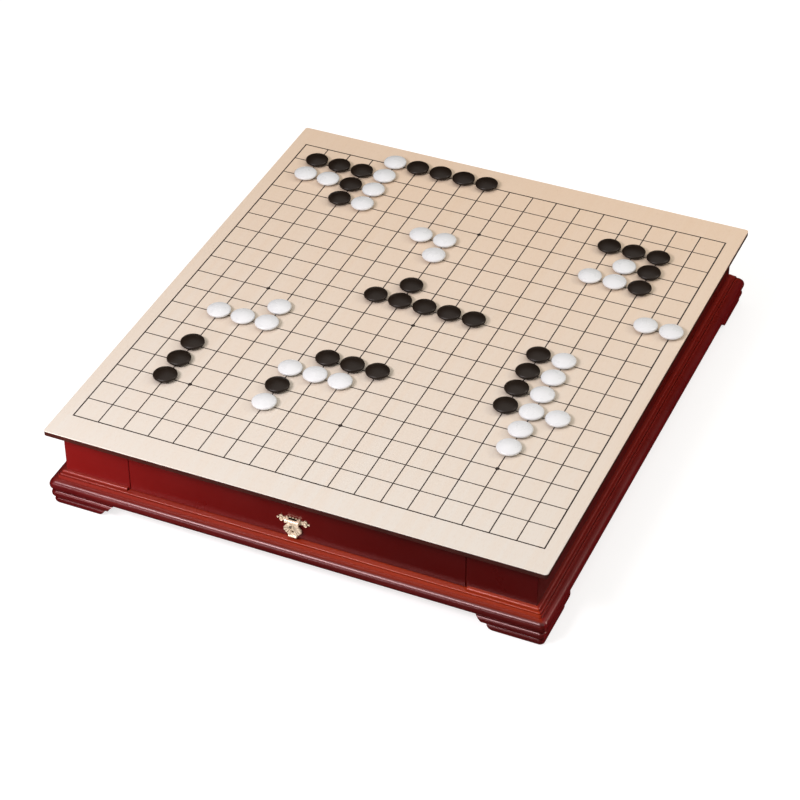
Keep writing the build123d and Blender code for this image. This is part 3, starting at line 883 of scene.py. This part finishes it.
eased_panel("centre_divider", "planed_centre_divider", "case",
            softwood_across)
eased_panel("bottom_panel", "planed_bottom_panel", "case",
            softwood_across, THIN_EASED)

# %% [markdown]
# ## Playing board
# The board is a thin painted core with a veneer on top. Both are a flat block whose four
# upright corners are rounded first, and whose rim is rounded after that: the core below,
# where it is knocked, and the veneer above, where hands rest.

# %% Playing board
CORNER_R = 2.5 * MM
KNOCKED_R = 0.9 * MM
HANDLED_R = 0.3 * MM


def board_layer(node, name, material, rim_z, rim_r):
    low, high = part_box(node)
    bm = bmesh.new()
    bmesh.ops.create_cube(bm, size=1.0)
    bmesh.ops.scale(bm, verts=bm.verts[:], vec=high - low)
    bmesh.ops.translate(bm, verts=bm.verts[:], vec=(low + high) / 2)
    upright = [e for e in bm.edges if abs(e.verts[0].co.z - e.verts[1].co.z) > ON_PLANE]
    bmesh.ops.bevel(
        bm, geom=upright, offset=CORNER_R, offset_type="OFFSET", segments=8, profile=0.5,
        affect="EDGES", material=-1)
    z = low.z if rim_z < 0 else high.z
    rim = [e for e in bm.edges if all(abs(v.co.z - z) < SAME for v in e.verts)]
    bmesh.ops.bevel(
        bm, geom=rim, offset=rim_r, offset_type="OFFSET", segments=4, profile=0.5,
        affect="EDGES", material=-1)
    return piece(bm, name, "case", material, [node])


board_layer(
    "board_core", "painted_board_core", edge_paint, -1, KNOCKED_R)
board_layer("board_veneer", "veneered_playing_face", veneer, 1, HANDLED_R)

# %% [markdown]
# ## Printed grid
# Nineteen lines each way, in cells a little longer than they are wide. A plain grid of 18
# by 18 faces has the right cells. Insetting every cell leaves a frame of half a line
# round it, so two neighbours give a whole line, and deleting the insides leaves only the
# print. The outer line gets its other half from its rim, pushed outwards.

# %% Printed grid
LINES = 19
PITCH_X = 22.0 * MM
PITCH_Y = 23.7 * MM
LINE = 1.35 * MM
INK = 0.05 * MM
STAR_R = 1.8 * MM
STAR_INK = 1.2 * INK
ROUND = 20
STARS = (-6, 0, 6)
TOP_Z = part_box("board_veneer")[1].z


def printed_grid():
    cells = LINES - 1
    half = Vector((cells * PITCH_X / 2, cells * PITCH_Y / 2, 1))
    bm = bmesh.new()
    bmesh.ops.create_grid(bm, x_segments=cells, y_segments=cells, size=1.0)
    bmesh.ops.scale(bm, verts=bm.verts[:], vec=half)
    insides = bm.faces[:]
    bmesh.ops.inset_individual(bm, faces=insides, thickness=LINE / 2, depth=0)
    bmesh.ops.delete(bm, geom=insides, context="FACES")
    rim = [
        e for e in bm.edges if e.is_boundary
        and all(abs(abs(v.co.x) - half.x) < SAME or abs(abs(v.co.y) - half.y) < SAME
                for v in e.verts)]
    grown = bmesh.ops.extrude_edge_only(bm, edges=rim)["geom"]
    outer = [g for g in grown if isinstance(g, bmesh.types.BMVert)]
    wider = Vector(((half.x + LINE / 2) / half.x, (half.y + LINE / 2) / half.y, 1))
    bmesh.ops.scale(bm, verts=outer, vec=wider)
    print_faces = bm.faces[:]
    grown = bmesh.ops.extrude_face_region(bm, geom=print_faces)["geom"]
    raised = [g for g in grown if isinstance(g, bmesh.types.BMVert)]
    bmesh.ops.translate(bm, verts=raised, vec=(0, 0, INK))
    for column in STARS:
        for row in STARS:
            bmesh.ops.create_cone(
                bm, cap_ends=True, segments=ROUND, radius1=STAR_R, radius2=STAR_R,
                depth=STAR_INK,
                matrix=Matrix.Translation((column * PITCH_X, row * PITCH_Y, STAR_INK / 2)))
    bmesh.ops.translate(bm, verts=bm.verts[:], vec=(0, 0, TOP_Z))
    return piece(bm, "printed_grid", "case", line_ink)


printed_grid()

# %% [markdown]
# ## Stones
# A go stone is a lens with a rounded rim. Its section is one arc round a centre far
# below, a tight arc at the rim, and the first arc again upside down. Spinning that half
# section once round gives the stone, and copies of it go on the crossings of the grid.

# %% Stones
STONE_R = 10.1 * MM
STONE_CROWN = 3.1 * MM
RIM_R = 1.4 * MM
STONE_LIFT = 0.2 * MM
STONE_STEPS = 36
BLACK_RUNS = [
    (1, 17, 1, 0, 3), (3, 16, 0, -1, 2), (5, 18, 1, 0, 4), (14, 16, 1, 0, 3),
    (16, 15, 0, -1, 2), (8, 11, 1, 0, 1), (7, 10, 1, 0, 5), (2, 5, 0, -1, 3),
    (7, 6, 1, 0, 3), (6, 4, 1, 0, 1), (14, 9, 0, -1, 4),
]
WHITE_RUNS = [
    (4, 18, 0, -1, 4), (1, 16, 1, 0, 2), (7, 14, 1, 0, 2), (8, 13, 1, 0, 1),
    (14, 14, 1, 0, 2), (15, 15, 1, 0, 1), (17, 12, 1, 0, 2), (4, 8, 1, 0, 1),
    (2, 7, 1, 0, 3), (6, 5, 1, 0, 3), (6, 3, 1, 0, 1), (15, 9, 0, -1, 6),
    (16, 6, 1, 0, 1),
]


def one_stone():
    rim_x = STONE_R - RIM_R
    lens_r = (rim_x ** 2 + STONE_CROWN ** 2 - RIM_R ** 2) / (2 * (STONE_CROWN - RIM_R))
    lens_z = lens_r - STONE_CROWN
    slope = atan2(rim_x, lens_z)
    bm = bmesh.new()
    pen = bm.verts.new((0, 0, -STONE_CROWN))
    for centre, angle, steps in (
            ((0, 0, lens_z), slope, 8),
            ((rim_x, 0, 0), pi - 2 * slope, 6),
            ((0, 0, -lens_z), slope, 8)):
        turned = bmesh.ops.spin(
            bm, geom=[pen], cent=centre, axis=(0, -1, 0), angle=angle, steps=steps,
            use_duplicate=False)
        pen = [g for g in turned["geom_last"] if isinstance(g, bmesh.types.BMVert)][0]
    bmesh.ops.spin(
        bm, geom=bm.verts[:] + bm.edges[:], cent=(0, 0, 0), axis=(0, 0, 1), angle=2 * pi,
        steps=STONE_STEPS, use_merge=True, use_duplicate=False)
    bmesh.ops.remove_doubles(bm, verts=bm.verts[:], dist=SAME)
    return bm


def stones(colour_name, runs, material):
    bm = one_stone()
    pattern = bm.verts[:] + bm.edges[:] + bm.faces[:]
    for column, row, step_x, step_y, count in runs:
        for number in range(count):
            x = (column + number * step_x - (LINES - 1) / 2) * PITCH_X
            y = (row + number * step_y - (LINES - 1) / 2) * PITCH_Y
            copied = bmesh.ops.duplicate(bm, geom=pattern)["geom"]
            bmesh.ops.translate(
                bm, verts=[g for g in copied if isinstance(g, bmesh.types.BMVert)],
                vec=(x, y, TOP_Z + STONE_LIFT + STONE_CROWN))
    bmesh.ops.delete(
        bm, geom=[g for g in pattern if isinstance(g, bmesh.types.BMVert)], context="VERTS")
    node = f"{colour_name}_stones"
    return piece(bm, f"tumbled_{node}", node, material, [node])


stones("black", BLACK_RUNS, black_stone)
stones("white", WHITE_RUNS, white_stone)

# %% [markdown]
# ## Drop pulls
# The pull is four small castings: a plate with lobed ends and two ears, a pin, two
# round-headed brads and a fan-shaped drop. Their CAD shapes are right in outline and in
# how they fit, so each starts as a joined copy. The plate's face is then sunk inside a
# fine rim. On the drop, saw lines spread from a small eye across the front face, and each
# sector between two lines is raised, which leaves ribs with grooves between them. The hole
# is opened a little, and the front of the lip is lowered, so its top slopes and throws the
# lamp's light back.

# %% Drop pulls
PLATE_T = 0.8 * MM
PLATE_RIM = 0.2 * MM
PLATE_SINK = 0.2 * MM
BLADE_OUT = 2.4 * MM
RIB_ANGLES = [15, 32, 49, 67, 87, 110]
RIB_GAP = 0.42 * MM
RIB_RISE = 0.7 * MM
EYE_DOWN = 4.4 * MM
EYE_R = 1.3 * MM
EYE_RISE = 0.45 * MM
EYE_TAPER = 0.8
EYE_RING = 0.35
LIP_OUT = 3.4 * MM
LIP_TOP_DOWN = 12.9 * MM
LIP_SLOPE = 0.95 * MM
HOLE_DOWN = 10.0 * MM
HOLE_R = 0.9 * MM
HOLE_WIDER = 1.4
FACING = 0.999
pin_low, pin_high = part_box("front_pull_pin")
AXLE_Z = (pin_low.z + pin_high.z) / 2


def pull_copy(side, part):
    """Copy of a pull's casting, turned to the front so that -y is outward."""
    bm = whole_copy(f"{side}_pull_{part}")
    if side == "rear":
        turn_to(bm, "rear")
    bm.normal_update()
    return bm


def finish_pull(bm, side, part, body):
    if side == "rear":
        turn_to(bm, "rear")
    node = f"{side}_pull_{part}"
    return piece(bm, f"cast_{node}", f"{side}_{body}", brass, [node])


def flat_faces(bm, out):
    """Faces that look straight outward at that distance from the wall."""
    y = -(HALF_D + out)
    return [f for f in bm.faces
            if f.normal.y < -FACING and abs(f.calc_center_median().y - y) < ON_PLANE]


def pull_plate(side):
    bm = pull_copy(side, "plate")
    bmesh.ops.inset_region(
        bm, faces=flat_faces(bm, PLATE_T), thickness=PLATE_RIM, depth=-PLATE_SINK,
        use_boundary=True)
    return finish_pull(bm, side, "plate", "drawer")


def saw_lines(bm, eye, angle, end):
    """Divide the blade's face along a line from the eye, on one side only."""
    faces = [f for f in flat_faces(bm, BLADE_OUT) if f.calc_center_median().x * end >= 0]
    around = {v for f in faces for v in f.verts} | {e for f in faces for e in f.edges}
    across = Vector((cos(radians(angle)), 0, end * sin(radians(angle))))
    bmesh.ops.bisect_plane(
        bm, geom=faces + list(around), dist=SAME, plane_co=eye, plane_no=across)


def bearing(face, eye):
    """Angle from straight down at which the eye sees the middle of a face."""
    offset = face.calc_center_median() - eye
    return degrees(atan2(offset.x, -offset.z))


def pull_drop(side):
    bm = pull_copy(side, "drop")
    eye = Vector((0, -(HALF_D + BLADE_OUT), AXLE_Z - EYE_DOWN))
    hole_z = AXLE_Z - HOLE_DOWN
    for vert in bm.verts:
        at_front = abs(vert.co.y + HALF_D + LIP_OUT) < ON_PLANE
        if at_front and abs(vert.co.z - (AXLE_Z - LIP_TOP_DOWN)) < ON_PLANE:
            vert.co.z -= LIP_SLOPE
        from_hole = Vector((vert.co.x, vert.co.z - hole_z))
        if from_hole.length < HOLE_R * 1.05:
            from_hole *= HOLE_WIDER
            vert.co.x, vert.co.z = from_hole.x, hole_z + from_hole.y
    bm.normal_update()
    for end in (-1, 1):
        for angle in [0] + RIB_ANGLES:
            saw_lines(bm, eye, angle, end)
    ribs = []
    for end in (-1, 1):
        for near, far in zip(RIB_ANGLES, RIB_ANGLES[1:]):
            bm.normal_update()
            sector = [
                f for f in flat_faces(bm, BLADE_OUT) if near < end * bearing(f, eye) < far]
            if len(sector) > 1:
                sector = bmesh.ops.dissolve_faces(bm, faces=sector)["region"]
            ribs += sector
    bm.normal_update()
    print(f"{side} drop: {len(ribs)} ribs")
    bmesh.ops.inset_individual(
        bm, faces=ribs, thickness=RIB_GAP, depth=RIB_RISE, use_even_offset=True)
    ring = bmesh.ops.create_cone(
        bm, cap_ends=True, segments=ROUND, radius1=EYE_R, radius2=EYE_R * EYE_TAPER,
        depth=EYE_RISE,
        matrix=Matrix.Translation(eye) @ Matrix.Rotation(pi / 2, 4, "X"))["verts"]
    bm.normal_update()
    top = [f for f in {f for v in ring for f in v.link_faces} if f.normal.y < -FACING]
    bmesh.ops.inset_individual(bm, faces=top, thickness=EYE_R * EYE_RING, depth=0)
    bmesh.ops.translate(bm, verts=top[0].verts[:], vec=(0, EYE_RISE, 0))
    return finish_pull(bm, side, "drop", "pull")


for side in ("front", "rear"):
    pull_plate(side)
    finish_pull(pull_copy(side, "pin"), side, "pin", "drawer")
    finish_pull(pull_copy(side, "nails"), side, "nails", "drawer")
    pull_drop(side)

# %% [markdown]
# ## Floor and light
# A white sweep below and a very large soft lamp overhead give the even light of a product
# photograph. A bright, long softbox in front, to the left, makes the line of light on every
# half-round. A low strip under it reaches the reeds of the feet, a tiny lamp near the left
# corner lifts that wall, and a card lights the right side. The floor, the sky and the tiny
# lamp stay out of the reflections, as behind a photographer's black card, so the lacquer
# keeps its depth. The sweep also glows a little by itself, which keeps it white and its
# shadows faint.

# %% Floor
FLOOR_SIZE = 12.0
floor_bm = bmesh.new()
bmesh.ops.create_grid(floor_bm, x_segments=1, y_segments=1, size=FLOOR_SIZE / 2)
floor_mesh = bpy.data.meshes.new("floor")
floor_bm.to_mesh(floor_mesh)
floor_bm.free()
floor = bpy.data.objects.new("floor", floor_mesh)
bpy.context.scene.collection.objects.link(floor)
floor_paper, tree, shader = new_material("white_paper_sweep")
shader.inputs["Base Color"].default_value = colour("#a8a8a8")
shader.inputs["Roughness"].default_value = 0.9
shader.inputs["Specular IOR Level"].default_value = 0.0
shader.inputs["Emission Color"].default_value = colour("#ffffff")
shader.inputs["Emission Strength"].default_value = 0.72
floor_mesh.materials.append(floor_paper)
floor.visible_glossy = False

# %% Lamps and sky
# Place, aim, width, height, power and colour of each lamp.
LAMPS = {
    "overhead": ((0.32, 0.1, 1.6), (0.32, 0.1, 0.0), 2.6, 2.6, 21.5, "#fffcf8"),
    "front_softbox": ((-0.45, -1.05, 1.1), (0.0, -0.1, 0.05), 0.75, 0.2, 18.0, "#fff6fa"),
    "low_front": ((-0.45, -1.15, 0.33), (0.0, -0.2, 0.03), 0.75, 0.08, 2.4, "#fff4f8"),
    "near_left": ((-0.22, -0.38, 0.07), (-0.2, -0.23, 0.05), 0.08, 0.08, 0.16, "#fff0f4"),
    "right_card": ((1.2, 0.6, 0.9), (0.0, 0.0, 0.05), 0.4, 0.4, 6.5, "#fff4e6"),
}
for name, (place, aim, width, height, power, tint) in LAMPS.items():
    data = bpy.data.lights.new(name, "AREA")
    data.shape = "RECTANGLE"
    data.size, data.size_y = width, height
    data.energy = power
    data.color = colour(tint)[:3]
    lamp = bpy.data.objects.new(name, data)
    lamp.location = place
    lamp.visible_glossy = name != "near_left"
    lamp.visible_camera = False
    lamp.rotation_euler = (Vector(place) - Vector(aim)).to_track_quat("Z", "Y").to_euler()
    bpy.context.scene.collection.objects.link(lamp)

sky = bpy.data.worlds.new("studio")
bpy.context.scene.world = sky
sky.use_nodes = True
sky.node_tree.nodes["Background"].inputs["Color"].default_value = (1, 1, 1, 1)
sky.node_tree.nodes["Background"].inputs["Strength"].default_value = 0.15
sky.cycles_visibility.glossy = False
bpy.context.scene.view_settings.view_transform = "Standard"
